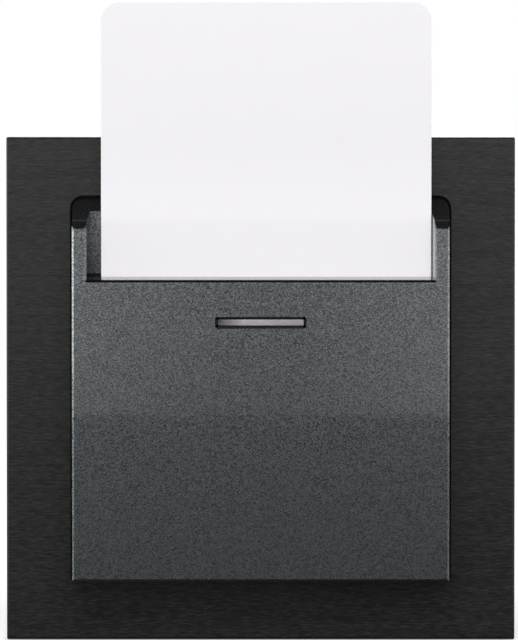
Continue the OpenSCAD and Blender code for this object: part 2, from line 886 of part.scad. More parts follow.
// Walls on both sides of a terminal's cage
module terminal_walls() {
    half = cage_w / 2 + cage_t + drop_fit;
    z0 = z_feed + feed_t / 2 + air;
    z1 = housing_h / 2 - housing_wall + over;
    for (x = [term_x - half - wall_rib, term_x + half])
        span([x, x + wall_rib], [y_cage, y_rear + over], [z0, z1]);
}

// Screws that hold lid, ring and housing together
module assembly_screws() color("#c4c7ca") both_sides() both_ends()
    translate([assembly_x, 0, assembly_z])
        slotted_screw(y_lid, screw_head_r, screw_head_t, assembly_r, screw_len);

// Circuit board of the orientation lamp
module lamp_board() color("#2f6b3f")
    span([-board_w / 2, board_w / 2], [y_board, y_lid], [z_guide - board_h / 2, z_guide + board_h / 2]);

// Lamp with a round tip that points at the light guide
module lamp_led() color("#e8eef2") translate([0, 0, z_guide]) {
    y_tip = y_board - led_len + led_r;
    along_y(y_board - led_flange_t, y_board) circle(led_flange_r);
    along_y(y_tip, y_board) circle(led_r);
    translate([0, y_tip, 0]) sphere(led_r);
}

// Feed strips from the lower terminals to the lamp board
module lamp_contacts() color("#c9a24a") both_sides()
    along_x(feed_x - feed_w / 2, feed_x + feed_w / 2) bent_strip([
        [y_cage_end - tongue_end, -z_feed], [feed_y, -z_feed], [feed_y, z_guide], [y_lid + fit, z_guide]
    ], feed_t);

// Brass cages that clamp the wires
module terminal_clamps() color("#c9a24a") both_sides() both_ends() difference() {
    half = cage_w / 2;
    span([term_x - half - cage_t, term_x + half + cage_t], [y_cage, y_cage_end], [z_cage, z_cage_top]);
    span([term_x - half, term_x + half], [y_cage - over, y_cage_end + over], [z_room, z_room + cage_h]);
    along_z(z_room, z_cage_top + over) translate([term_x, y_term_screw]) circle(term_screw_r + fit);
}

// Clamping screws of the terminals
module terminal_screws() color("#c4c7ca") both_sides() both_ends()
    translate([term_x, y_term_screw, z_cage_top + head_room]) rotate([-90, 0, 0])
        slotted_screw(0, term_head_r, term_head_t, term_screw_r, cage_thread + head_room + air);

// Place of a point on the rocker when it is turned about its pivot
function swung(u, v, a) = [pivot_y + u * cos(a) - v * sin(a), z_pivot + u * sin(a) + v * cos(a)];

// Tongue that leads a contact strip sideways into its terminal's cage
module tongue(y0) {
    half = strip_w / 2;
    neck = y_cage - air;
    far = term_x + tongue_w / 2;
    near = term_x - tongue_w / 2;
    along_z(z_tongue - strip_t / 2, z_tongue + strip_t / 2) polygon([
        [-half, y0], [far, y0], [far, y_cage_end - tongue_end], [near, y_cage_end - tongue_end],
        [near, min(neck, y0 + strip_w)], [-half, min(neck, y0 + strip_w)]
    ]);
}

// Strip that stays in touch with the moving contact's rounded part
module common_contact() color("#c08a55") {
    z0 = z_pivot + arc_out + contact_gap + strip_t / 2;
    y_rise = pivot_y + common_tail;
    along_x(-strip_w / 2, strip_w / 2)
        bent_strip([[pivot_y - common_lead, z0], [y_rise, z0], [y_rise, z_tongue]], strip_t);
    mirror([1, 0, 0]) tongue(y_rise - strip_t / 2);
}

// Contact that is closed while the card is in
module on_contact() color("#c08a55") fixed_contact(z_tongue);

// Contact that is closed while the card is out
module off_contact() color("#c08a55")
    translate([0, 0, 2 * z_pivot]) mirror([0, 0, 1]) fixed_contact(z_tongue + 2 * z_pivot);

// Strip with a rivet that faces the moving contact, carried up to a terminal at the given height
module fixed_contact(z_end) {
    start = swung(contact_arm - fixed_lead, fixed_h, rocker_angle);
    bend = swung(contact_arm + fixed_tail, fixed_h, rocker_angle);
    along_x(-strip_w / 2, strip_w / 2) bent_strip([start, bend, [bend[0], z_end]], strip_t);
    translate([0, pivot_y, z_pivot]) rotate([rocker_angle, 0, 0])
        translate([0, contact_arm, rivet_h + contact_gap]) cylinder(r = rivet_r, h = fixed_rivet + over);
    translate([0, 0, z_end - z_tongue]) tongue(bend[0] - strip_t / 2);
}

// Pin that the rocker swings on
module rocker_pin() color("#c4c7ca")
    along_x(-cheek_out, cheek_out) translate([pivot_y, z_pivot]) circle(pin_r);

// Carriage that the card pushes down, with its step, wings, spring room and fork
module card_slider() color("#e3e2dd") {
    difference() {
        union() {
            span([-slider_w / 2, slider_w / 2], [y_slider, y_slider_rear], [z_slider_low, z_slider_top]);
            span([run_gap - rail_out, rail_out - run_gap], [y_wing, y_slider_rear],
                 [z_slider_low, z_slider_top]);
            card_step();
            fork();
        }
        span([-pocket_half, pocket_half], [y_spring_room - air, y_slider_rear + over],
             [z_slider_low - over, z_spring]);
        along_x(-prong_half - over, prong_half + over) fork_slot();
    }
    translate([0, y_spring, z_spring - stud_len]) cylinder(r = stud_r, h = stud_len + over);
}

// Step under the card, deeper towards the slider
module card_step() {
    y_tip = y_slot + step_clear;
    along_x(-step_w / 2, step_w / 2) polygon([
        [y_slider + over, z_card - step_root], [y_tip, z_card - step_t], [y_tip, z_card],
        [y_slider + over, z_card]
    ]);
}

// Two prongs that hold the rocker's nose
module fork() {
    reach = fork_gap / 2 + prong_t;
    span([-prong_half, prong_half], [y_slider_rear - over, nose_y + prong_reach],
         [z_fork - reach, z_fork + reach]);
}

// Gap between the prongs with room for the nose at mid travel
module fork_slot() {
    y_root = pivot_y - nose_arm - nose_r - air;
    translate([y_root, z_fork - fork_gap / 2]) square([nose_y + nose_arm - y_root, fork_gap]);
}

// Return spring: points along the helix, rings of wire around them
spring_rise = (spring_len - 2 * wire_r - 2 * fit) / spring_turns;
spring_steps = spring_turns * curl_rings;
function helix(i) = let (a = 360 * i / curl_rings)
    [spring_r * cos(a), spring_r * sin(a), wire_r + fit + spring_rise * i / curl_rings];
function helix_side(i) = let (a = 360 * i / curl_rings) [cos(a), sin(a), 0];
function helix_along(i) =
    let (a = 360 * i / curl_rings, v = [-sin(a), cos(a), spring_rise / (2 * PI * spring_r)]) v / norm(v);
function wire_point(i, k) = let (a = 360 * k / wire_sides)
    helix(i) + wire_r * (cos(a) * helix_side(i) + sin(a) * cross(helix_along(i), helix_side(i)));
spring_gap = min([for (i = [0 : spring_steps - curl_rings / 2], j = [i + curl_rings / 2 : spring_steps])
    norm(helix(i) - helix(j))]) - 2 * wire_r;
echo(least_gap_of_spring = spring_gap);
module slider_spring() color("#b5b8bb") translate([0, y_spring, z_seat]) {
    last = spring_steps * wire_sides;
    polyhedron(
        points = [for (i = [0 : spring_steps], k = [0 : wire_sides - 1]) wire_point(i, k)],
        faces = concat(
            [for (i = [0 : spring_steps - 1], k = [0 : wire_sides - 1])
                [i * wire_sides + k, i * wire_sides + (k + 1) % wire_sides,
                 (i + 1) * wire_sides + (k + 1) % wire_sides]],
            [for (i = [0 : spring_steps - 1], k = [0 : wire_sides - 1])
                [i * wire_sides + k, (i + 1) * wire_sides + (k + 1) % wire_sides, (i + 1) * wire_sides + k]],
            [for (k = [1 : wire_sides - 2]) [0, k + 1, k]],
            [for (k = [1 : wire_sides - 2]) [last, last + k, last + k + 1]]
        )
    );
}

// Turns a piece of the rocker to its place with the card in
module at_pivot() {
    translate([0, pivot_y, z_pivot]) rotate([rocker_angle, 0, 0]) children();
}

// Lever with hub, nose and a rest for the moving contact
module contact_rocker() color("#e3e2dd") at_pivot() difference() {
    union() {
        along_x(-hub_half, hub_half) circle(hub_r);
        along_x(-nose_half, nose_half) {
            translate([-nose_arm, 0]) circle(nose_r);
            polygon([
                [0, arm_root], [nose_r - nose_arm, arm_tip], [-nose_arm, arm_tip],
                [-nose_arm, -arm_tip], [nose_r - nose_arm, -arm_tip], [0, -arm_root]
            ]);
            translate([0, -rest_t - moving_t / 2 - snug]) square([rest_len, rest_t]);
        }
    }
    along_x(-hub_half - over, hub_half + over) circle(pin_r + pin_run);
}

// Changeover strip that wraps the hub and carries a rivet on both faces
module moving_contact() color("#c08a55") at_pivot() {
    along_x(-moving_half, moving_half) {
        intersection() {
            difference() {
                circle(arc_out);
                circle(arc_in);
            }
            polygon([
                [0, -moving_t / 2], [2 * arc_out, -moving_t / 2], [2 * arc_out, 2 * arc_out],
                [0, 2 * arc_out], 2 * arc_out * [cos(arc_sweep), sin(arc_sweep)]
            ]);
        }
        translate([arc_in + arc_t / 2, -moving_t / 2]) square([moving_len - arc_in - arc_t / 2, moving_t]);
    }
    translate([0, contact_arm, -rivet_h]) cylinder(r = rivet_r, h = 2 * rivet_h);
}

// Spreading claws
module claw_left() color("#a7abae") mirror([1, 0, 0]) claw();
module claw_right() color("#a7abae") claw();

// Claw on the right side: rolled eye, tongue for the screw, arm with two teeth
module claw() {
    arm_x = claw_x + claw_eye_r;
    end_y = claw_len;
    difference() {
        union() {
            along_z(-claw_half, claw_half) {
                translate([claw_x, claw_y]) circle(claw_eye_r);
                translate([arm_x - claw_t, claw_y]) square([claw_t, end_y - claw_y]);
            }
            along_z(-claw_tongue_half, claw_tongue_half)
                translate([tongue_in, claw_y + claw_eye_r - claw_t]) square([claw_x - tongue_in, claw_t]);
            both_ends() along_z(claw_half - tooth_half, claw_half) polygon([
                [arm_x - over, end_y - 2 * claw_t], [arm_x + tooth_len, end_y], [arm_x - over, end_y]
            ]);
        }
        along_z(-claw_half - over, claw_half + over) translate([claw_x, claw_y]) circle(claw_pin_r + pin_run);
    }
}

// Pins of the claws
module claw_pins() color("#c4c7ca") both_sides() {
    end = claw_half + lug_gap + lug_t;
    along_z(-end, end) translate([claw_x, claw_y]) circle(claw_pin_r);
}

// Screws that push the claws' tongues and spread the claws
module claw_screws() color("#c4c7ca") both_sides() {
    tip = claw_y + claw_eye_r - claw_t - drop_fit;
    head = y_ring - head_room;
    translate([claw_screw_x, 0, 0]) slotted_screw(head, claw_head_r, claw_head_t, claw_screw_r, tip - head);
}

// Blank card
module key_card() color("#f1eff2")
    along_y(y_card - card_t / 2, y_card + card_t / 2)
        translate([card_shift, z_card + card_h / 2]) round_rect(card_w, card_h, card_r);

frame_plate();
frame_carrier();
card_cover();
light_guide();
pocket_back();
card_grip_springs();
mounting_ring();
base_lid();
base_housing();
assembly_screws();
lamp_board();
lamp_led();
lamp_contacts();
terminal_clamps();
terminal_screws();
common_contact();
on_contact();
off_contact();
rocker_pin();
card_slider();
slider_spring();
contact_rocker();
moving_contact();
claw_left();
claw_right();
claw_pins();
claw_screws();
key_card();
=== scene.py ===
# %% [markdown]
# # A room switch worked by a key card
# The switch is a black brushed frame, a dark metallic cover with a card slot, a white card, and
# behind the wall a pale insert with its steel ring, claws, slider, rocker and terminals.
# The packed model gives every solid at its place in metres, so this lesson only dresses it:
# fine edges, finishes, light and a camera at the photograph's angle.

# %% Load the frame
import json
import math

import bmesh
import bpy
import numpy as np
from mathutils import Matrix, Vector


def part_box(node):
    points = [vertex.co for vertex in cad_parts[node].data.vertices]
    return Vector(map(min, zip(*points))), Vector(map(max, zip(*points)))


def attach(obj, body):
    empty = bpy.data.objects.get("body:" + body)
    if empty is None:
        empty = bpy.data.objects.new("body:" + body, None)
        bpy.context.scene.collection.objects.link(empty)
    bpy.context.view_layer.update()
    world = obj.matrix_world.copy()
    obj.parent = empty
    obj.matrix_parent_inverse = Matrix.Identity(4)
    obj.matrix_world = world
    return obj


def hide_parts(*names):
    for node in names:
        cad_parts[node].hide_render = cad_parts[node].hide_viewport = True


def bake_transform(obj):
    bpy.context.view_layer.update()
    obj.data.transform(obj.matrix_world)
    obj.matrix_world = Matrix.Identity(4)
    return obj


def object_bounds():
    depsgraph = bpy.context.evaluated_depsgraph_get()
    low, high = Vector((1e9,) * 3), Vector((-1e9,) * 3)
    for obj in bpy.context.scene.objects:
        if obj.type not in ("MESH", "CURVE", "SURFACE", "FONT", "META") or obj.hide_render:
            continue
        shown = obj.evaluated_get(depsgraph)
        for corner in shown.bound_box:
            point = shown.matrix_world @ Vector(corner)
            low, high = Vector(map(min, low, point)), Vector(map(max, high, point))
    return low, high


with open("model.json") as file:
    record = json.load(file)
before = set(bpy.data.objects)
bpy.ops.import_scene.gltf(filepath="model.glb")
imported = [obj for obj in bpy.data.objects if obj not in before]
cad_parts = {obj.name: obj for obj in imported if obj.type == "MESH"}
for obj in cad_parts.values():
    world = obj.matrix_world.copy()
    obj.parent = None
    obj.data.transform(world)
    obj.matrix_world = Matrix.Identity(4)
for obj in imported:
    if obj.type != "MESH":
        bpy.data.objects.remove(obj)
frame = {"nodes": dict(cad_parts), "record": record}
cad_box = [list(corner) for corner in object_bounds()]
MM = 0.001
print("nodes", len(frame["nodes"]), "box in mm", [[round(v / MM, 1) for v in c] for c in cad_box])

# %% [markdown]
# ## Camera
# A product photograph of a wall switch is taken from far away with a long lens, so that the frame
# stays square. One could guess a lens and move the camera by eye. Here the scale comes from the
# card, whose width is known: about 6.1 pixels for each millimetre in a picture 640 pixels high.
# With the distance chosen, that scale gives the lens, and the camera looks down by a few degrees.
# In an upright picture the sensor's width spans the height.

# %% Camera
PICTURE_HEIGHT = 640
PIXELS_PER_MM = 6.116
DISTANCE = 1.2
TILT = math.radians(2.6)
AIM = Vector((-0.28 * MM, -12.9 * MM, 11.5 * MM))
SENSOR = 36.0

lens = bpy.data.cameras.new("camera")
lens.sensor_width = SENSOR
lens.lens = SENSOR * DISTANCE / (PICTURE_HEIGHT / PIXELS_PER_MM * MM)
lens.clip_start, lens.clip_end = 0.01, 50
camera = bpy.data.objects.new("camera", lens)
back = Vector((0, -math.cos(TILT), math.sin(TILT)))
camera.location = AIM + back * DISTANCE
camera.rotation_mode = "QUATERNION"
camera.rotation_quaternion = (-back).to_track_quat("-Z", "Y")
bpy.context.scene.collection.objects.link(camera)
bpy.context.scene.camera = camera
bpy.context.scene.view_settings.view_transform = "Standard"
print("lens", round(lens.lens, 1), "mm at", DISTANCE, "m")

# %% [markdown]
# ## Shader maths
# A finish is a small network of nodes. Written by hand, each sum needs a node, two links and a
# place to keep them. A class that wraps a socket makes it readable: a + b or 1 - a adds the Math
# node, and one method adds every other kind of node with its settings and its inputs.

# %% Shader maths
X, Y, Z = range(3)


class Value:
    """One output of a shader node. Sums, products, quotients and powers with numbers or other
    values add Math nodes."""

    def __init__(self, graph, socket):
        self.graph, self.socket = graph, socket

    def _math(self, operation, a, b):
        return self.graph.node("ShaderNodeMath", {"operation": operation}, {0: a, 1: b})

    def __add__(self, other):
        return self._math("ADD", self, other)

    def __sub__(self, other):
        return self._math("SUBTRACT", self, other)

    def __rsub__(self, other):
        return self._math("SUBTRACT", other, self)

    def __mul__(self, other):
        return self._math("MULTIPLY", self, other)

    def __truediv__(self, other):
        return self._math("DIVIDE", self, other)

    def __rtruediv__(self, other):
        return self._math("DIVIDE", other, self)

    def __pow__(self, other):
        return self._math("POWER", self, other)

    def __rpow__(self, other):
        return self._math("POWER", other, self)

    __radd__, __rmul__ = __add__, __mul__


class Graph:
    """Makes nodes in one node tree."""

    def __init__(self, tree):
        self.tree = tree
        tree.nodes.clear()

    def node(self, kind, settings=None, sockets=None, out=0):
        """Adds a node, its settings first, then each socket's value or link. Gives one output."""
        made = self.tree.nodes.new(kind)
        for name, value in (settings or {}).items():
            setattr(made, name, value)
        for name, value in (sockets or {}).items():
            if isinstance(value, Value):
                self.tree.links.new(value.socket, made.inputs[name])
            else:
                made.inputs[name].default_value = value
        return Value(self, made.outputs[out]) if made.outputs else None

    def place(self, scale=(1, 1, 1), turn=(0, 0, 0)):
        """Object coordinates in metres, scaled and turned."""
        coords = self.node("ShaderNodeTexCoord", out="Object")
        return self.node("ShaderNodeMapping", None,
                         {"Vector": coords, "Scale": scale, "Rotation": turn})

    def along(self, axis):
        """Distance in metres from the origin along X, Y or Z."""
        return self.node("ShaderNodeSeparateXYZ", None, {"Vector": self.place()}, out=axis)

    def size(self, value):
        """The value without its sign."""
        return self.node("ShaderNodeMath", {"operation": "ABSOLUTE"}, {0: value})

    def band(self, value, low, high, out_low=0.0, out_high=1.0):
        """Stretches a value from low..high to out_low..out_high and stops there."""
        return self.node("ShaderNodeMapRange", {"clamp": True}, {
            "Value": value, "From Min": low, "From Max": high,
            "To Min": out_low, "To Max": out_high})

    def fall(self, value, low, high):
        """1 up to low, then falling to 0 at high."""
        return self.band(value, low, high, 1.0, 0.0)

    def within(self, value, low, high, soft):
        """1 from low to high, fading to 0 over soft on both sides."""
        return self.band(value, low - soft, low) * self.fall(value, high, high + soft)

    def off_bar(self, half_w, half_h, corner, middle):
        """Distance in metres from a bar with round corners in the XZ plane, 0 at its outline: how
        far a point lies beyond the corner's centre, less the corner's radius."""
        reaches = ((self.size(self.along(X)), half_w), (self.size(self.along(Z) - middle), half_h))
        beyond = [self.node("ShaderNodeMath", {"operation": "MAXIMUM"},
                            {0: reach - (half - corner), 1: 0.0}) for reach, half in reaches]
        return (beyond[0] * beyond[0] + beyond[1] * beyond[1]) ** 0.5 - corner

    def noise(self, place, scale, detail=2.0, roughness=0.5):
        """Soft random values from 0 to 1."""
        return self.node("ShaderNodeTexNoise", None, {
            "Vector": place, "Scale": scale, "Detail": detail, "Roughness": roughness})

    def mix(self, factor, a, b):
        """Colour between a and b."""
        return self.node("ShaderNodeMix", {"data_type": "RGBA"}, {0: factor, 6: a, 7: b}, out=2)

    def bump(self, height, strength, distance):
        """Normal of a surface with that height, whose full step is distance in metres."""
        return self.node("ShaderNodeBump", None,
                         {"Height": height, "Strength": strength, "Distance": distance})


print("a graph can", ", ".join(name for name in vars(Graph) if not name.startswith("_")))

# %% Colours and materials
def rgb(r, g, b):
    """Colour written as 0 to 255 in a picture, as the linear colour that a shader takes."""
    c = np.array([r, g, b]) / 255
    return (*np.where(c <= 0.04045, c / 12.92, ((c + 0.055) / 1.055) ** 2.4), 1.0)


def finish_of(name, build):
    """Makes a material whose surface shader is what build(graph) gives."""
    material = bpy.data.materials.new(name)
    material.use_nodes = True
    graph = Graph(material.node_tree)
    graph.node("ShaderNodeOutputMaterial", None, {"Surface": build(graph)})
    print("finish", name, "of", len(material.node_tree.nodes), "nodes")
    return material


finishes = {}
print("half grey in a picture is", round(rgb(128, 128, 128)[0], 3), "in a shader")

# %% [markdown]
# ## Metallic cover
# The cover is moulded plastic with a dark metallic lacquer: small flakes in a clear coat. A plain
# noise looks like dust. A Voronoi pattern gives each flake its own cell, about a seventh of a
# millimetre wide. A flake that lies flat is pale and glossy and mirrors what stands opposite, one
# that leans is dull, so the flakes sparkle under a bright reflection and calm down under a dark
# one. Shade is painted into the lacquer: its colour turns towards black and its coat thins in the
# pocket behind the card, most towards the pocket's foot and its cheeks, on the bevels of the ears,
# along the lip's front edge and round the lamp's hole. On the lip, the cheeks of the notch and the
# crests of the ears the flakes lie smooth, and a highlight is painted there in a paler colour.

# %% Where light and shade are painted into the lacquer
# Height of the lip, half the slot's width, height of the lamp, the two edges of the ears' bevel,
# and the lamp's hole. Depths count from the wall, and the front face lies 16 mm before it.
RIM, SLOT, GUIDE = 18.1 * MM, 28.0 * MM, 11.2 * MM
EAR_TOP, EAR_CREST = 26.55 * MM, 27.9 * MM
HOLE_W, HOLE_H, HOLE_R = 7.4 * MM, 0.9 * MM, 0.4 * MM


def smooth_sheen_mask(g):
    """Where the lacquer is smoother and a highlight is painted paler: 1 on the lip, less on the
    cheeks, which lie between the front face and the card, and 1 along the crest of each ear."""
    x, y, z = g.size(g.along(X)), g.along(Y), g.along(Z)
    # Painted highlight on the lip and the cheeks of the notch, where the lacquer is also smoother.
    notch = (g.within(y, -15.6 * MM, -12.6 * MM, 0.2 * MM)
             * g.band(z, RIM - 0.1 * MM, RIM)
             * g.fall(z, EAR_TOP - 1.0 * MM, EAR_TOP + 0.5 * MM)
             * g.fall(x, SLOT - 0.1 * MM, SLOT + 0.6 * MM))
    # Painted highlight along the crest of each ear.
    crest = (g.within(z, EAR_CREST - 0.12 * MM, EAR_CREST + 0.05 * MM, 0.08 * MM)
             * g.within(y, -15.2 * MM, -14.7 * MM, 0.1 * MM))
    return g.band(notch + crest, 0.0, 1.0)


def lacquer_shade(g):
    """From 0 to 1, how much painted shade turns the lacquer towards black and thins its coat."""
    x, y, z = g.size(g.along(X)), g.along(Y), g.along(Z)
    # Painted shade: the pocket behind the card darkens towards its foot and towards the cheeks.
    pocket = (g.within(y, -12.1 * MM, -11.5 * MM, 0.3 * MM)
              * g.band(z, RIM - 1.1 * MM, RIM - 0.6 * MM)
              * g.fall(x, SLOT, SLOT + 0.1 * MM))
    pocket_light = (g.band(z, RIM, RIM + 11 * MM, 0.46, 1.06)
               * g.band(x, SLOT - 2.2 * MM, SLOT, 1.0, 0.5))
    # Painted shade: a dark line along the lip's front edge.
    lip = (g.within(z, RIM - 0.32 * MM, RIM + 0.02 * MM, 0.1 * MM)
           * g.fall(y, -15.7 * MM, -15.5 * MM)
           * g.fall(x, SLOT + 0.4 * MM, SLOT + 0.6 * MM))
    # Painted shade: a dark ring round the lamp's hole.
    hole = g.fall(g.off_bar(HOLE_W, HOLE_H, HOLE_R, GUIDE), 0.02 * MM, 0.1 * MM)
    # Painted shade: the ears' bevels are darker.
    bevel = (g.within(z, EAR_TOP - 0.1 * MM, EAR_CREST - 0.2 * MM, 0.05 * MM)
             * g.fall(y, -15.1 * MM, -14.9 * MM))
    return g.band(pocket * (1 - pocket_light) + lip * 0.85 + hole + bevel * 0.45, 0.0, 1.0)


print("lip at", RIM / MM, "mm, lamp at", GUIDE / MM, "mm above the middle")

# %% Metallic cover
FLAKE_SCALE, CLOUD_SCALE, PEEL_SCALE = 6800.0, 220.0, 1500.0
# The flakes' two tones, the paler colour of a painted highlight and the near black of painted
# shade.
LEANING, FLAT, SHEEN_TONE, SHADE_BLACK = rgb(52, 56, 59), rgb(134, 138, 141), rgb(164, 163, 167), rgb(7, 7, 8)


def metallic_lacquer(g):
    """Each flake's random tone says how flat it lies, from dark and dull to pale and glossy."""
    flakes = g.node("ShaderNodeTexVoronoi", {"feature": "F1"}, {
        "Vector": g.place(), "Scale": FLAKE_SCALE, "Randomness": 1.0}, out="Color")
    tone = g.node("ShaderNodeSeparateColor", None, {"Color": flakes}, out=0)
    cloud = g.noise(g.place(), CLOUD_SCALE, 3.0, 0.6)
    flat = g.band(tone + cloud * 0.12, 0.05, 1.1)
    peel = g.noise(g.place(), PEEL_SCALE, 2.0)
    # A painted highlight makes the colour paler where the lacquer is smooth; painted shade turns it
    # towards black and thins the coat.
    sheen, painted_shade = smooth_sheen_mask(g), lacquer_shade(g)
    colour = g.mix(sheen * 0.85, g.mix(flat, LEANING, FLAT), SHEEN_TONE)
    return g.node("ShaderNodeBsdfPrincipled", None, {
        "Base Color": g.mix(painted_shade, colour, SHADE_BLACK), "Metallic": 0.96,
        "Roughness": g.band(flat, 0.0, 1.0, 0.58, 0.12) * (1 - sheen) + sheen * 0.1,
        "Normal": g.bump(peel, 0.03, 0.02 * MM),
        "Coat Weight": 1 - painted_shade, "Coat Roughness": 0.03, "Coat IOR": 1.5})


finishes["cover_plastic"] = finish_of("metallic_lacquer", metallic_lacquer)

# %% [markdown]
# ## Brushed black aluminium
# The frame is aluminium that was brushed sideways and then anodised black. An anisotropic shader
# can fake brushing, but the lines then vanish close up. Here noise is stretched along X into fine
# lines: they darken and lighten the colour a little, change the gloss, and as a bump they smear
# reflections upright, which is what brushing does.

# %% Brushed black aluminium
def brushed_black(g):
    """Noise with many waves to the metre along Z and few along X, in three widths of line."""
    fine = g.noise(g.place((650, 900, 4200)), 1.0, 2.0, 0.5)
    streak = g.noise(g.place((60, 300, 1500)), 1.0, 2.0)
    hair = g.noise(g.place((700, 900, 15000)), 1.0, 2.0)
    cloud = g.noise(g.place(), 45.0, 2.0)
    tone = g.band(fine * 0.75 + streak * 0.25 + cloud * 0.1, 0.3, 0.8)
    return g.node("ShaderNodeBsdfPrincipled", None, {
        "Base Color": g.mix(tone, rgb(31, 30, 30), rgb(63, 62, 61)), "Metallic": 0.62,
        "Roughness": g.band(fine, 0.3, 0.7, 0.18, 0.28),
        "Normal": g.bump(fine * 0.2 + streak * 0.1 + hair * 0.3, 1.0, 0.02 * MM)})


finishes["black_aluminium"] = finish_of("brushed_black", brushed_black)

# %% [markdown]
# ## Plastics
# Three moulded plastics are in the switch: black behind the frame, pale grey for the insert and a
# smoother white for the parts that slide. Moulded plastic has a fine eroded grain, a slightly
# uneven tone from the flow in the mould, and small changes of gloss. Three networks drawn by hand
# would differ only in their numbers, so one function makes all of them from a dark and a light
# tone, a gloss and a depth of grain.

# %% Plastics
def moulded(dark, light, gloss, grain):
    """Flow and pits set the tone, scuffs the gloss, and the pits are also a bump."""
    def build(g):
        flow = g.noise(g.place((1, 1, 0.35)), 130.0, 4.0, 0.55)
        pits = g.noise(g.place(), 3600.0, 2.0, 0.6)
        scuff = g.noise(g.place((1, 0.2, 1)), 700.0, 3.0, 0.7)
        tone = g.band(flow * 0.7 + pits * 0.3, 0.3, 0.7)
        return g.node("ShaderNodeBsdfPrincipled", None, {
            "Base Color": g.mix(tone, rgb(*dark), rgb(*light)), "IOR": 1.5,
            "Roughness": g.band(scuff, 0.3, 0.75, gloss, gloss + 0.16),
            "Normal": g.bump(pits, grain, 0.03 * MM)})

    return build


PLASTICS = {"carrier_plastic": ("black_moulded", (24, 24, 25), (38, 38, 39), 0.42, 0.5),
            "insert_plastic": ("pale_moulded", (196, 195, 188), (216, 215, 209), 0.4, 0.3),
            "slider_plastic": ("white_moulded", (222, 221, 214), (236, 235, 230), 0.28, 0.12)}
for slot, (name, *look) in PLASTICS.items():
    finishes[slot] = finish_of(name, moulded(*look))

# %% [markdown]
# ## Metals
# Zinc on steel, bare spring steel, brass and bronze are all metals with a tint. What tells them
# apart is the surface: zinc has soft blotches, rolled strip has lines along its length, and brass
# and bronze tarnish in patches. One function takes the two tones of the tint, the gloss and how
# far the rolling lines are stretched.

# %% Metals
def sheet_metal(dark, light, gloss, stretch):
    """Blotches and rolling lines set the tone, and patches of tarnish darken and dull it."""
    def build(g):
        blotch = g.noise(g.place(), 420.0, 4.0, 0.6)
        lines = g.noise(g.place(stretch), 1.0, 3.0, 0.6)
        tarnish = g.band(g.noise(g.place(), 150.0, 3.0, 0.6), 0.5, 0.75)
        tone = g.band(blotch * 0.6 + lines * 0.4, 0.3, 0.7)
        dull = (*(0.55 * c for c in rgb(*dark)[:3]), 1.0)
        return g.node("ShaderNodeBsdfPrincipled", None, {
            "Base Color": g.mix(tarnish * 0.35, g.mix(tone, rgb(*dark), rgb(*light)), dull),
            "Roughness": g.band(blotch + tarnish * 0.3, 0.3, 0.9, gloss, gloss + 0.22),
            "Metallic": 1.0, "Normal": g.bump(lines, 0.15, 0.02 * MM)})

    return build


METALS = {"zinc_steel": ((150, 153, 156), (196, 199, 200), 0.28, (900, 900, 900)),
          "spring_steel": ((150, 148, 144), (200, 199, 196), 0.2, (4000, 4000, 120)),
          "brass": ((176, 138, 66), (214, 176, 98), 0.24, (3500, 200, 3500)),
          "bronze": ((160, 104, 62), (202, 146, 98), 0.26, (3500, 200, 200))}
for slot, look in METALS.items():
    finishes[slot] = finish_of(slot, sheet_metal(*look))

# %% [markdown]
# ## White card stock
# A blank plastic card is a white core between two clear foils, pressed against polished plates. It
# is almost flat white, with a faint waviness in its gloss, a few hairline scratches along its
# sliding direction, and at its edge the thin lines where core and foils meet. A plain white would
# do from afar, but the card fills a third of the picture, so it gets all of these.

# %% White card stock
CARD_MIDDLE = -12.9 * MM


def card_white(g):
    """The foils lie beyond 0.28 mm from the card's middle. Light is painted into the core: it is
    whitest just above the ears, and a little greyer below them, where the ears shade it, and
    towards the top."""
    wave = g.noise(g.place(), 160.0, 2.0)
    scratch = g.band(g.noise(g.place((3200, 100, 60)), 1.0, 2.0), 0.68, 0.8)
    foil = g.band(g.size(g.along(Y) - CARD_MIDDLE), 0.28 * MM, 0.3 * MM)
    height = g.along(Z)
    # Painted light: paler just above the ears, greyer below them and towards the top.
    painted_shading = g.band(height, 27.2 * MM, 28.4 * MM, 0.6, 0.0) + g.band(height, 30 * MM, 40 * MM)
    core = g.mix(painted_shading * 0.8 + wave * 0.2, rgb(246, 244, 247), rgb(239, 237, 240))
    return g.node("ShaderNodeBsdfPrincipled", None, {
        "Base Color": g.mix(foil * 0.12 + scratch * 0.05, core, rgb(176, 174, 184)), "IOR": 1.5,
        "Roughness": g.band(wave + scratch * 0.4, 0.0, 1.4, 0.2, 0.34),
        "Normal": g.bump(wave, 0.05, 0.1 * MM)})


finishes["card_white"] = finish_of("card_white", card_white)

# %% [markdown]
# ## Light guide, lamp and board
# The light guide is clear plastic that looks milky, because its rear is rough to spread the light.
# Real clear plastic in so thin a bar would show the dark hole behind it, so the milk is a colour,
# and light is painted into it: its left end is painted dark where no light reaches it, its sides
# are painted dark where the pocket shades them, and two slanted glints are painted across it. The
# lamp is clear resin with a faint tint, and the lamp's board is green lacquer over copper tracks,
# made of a grid of straight lines.

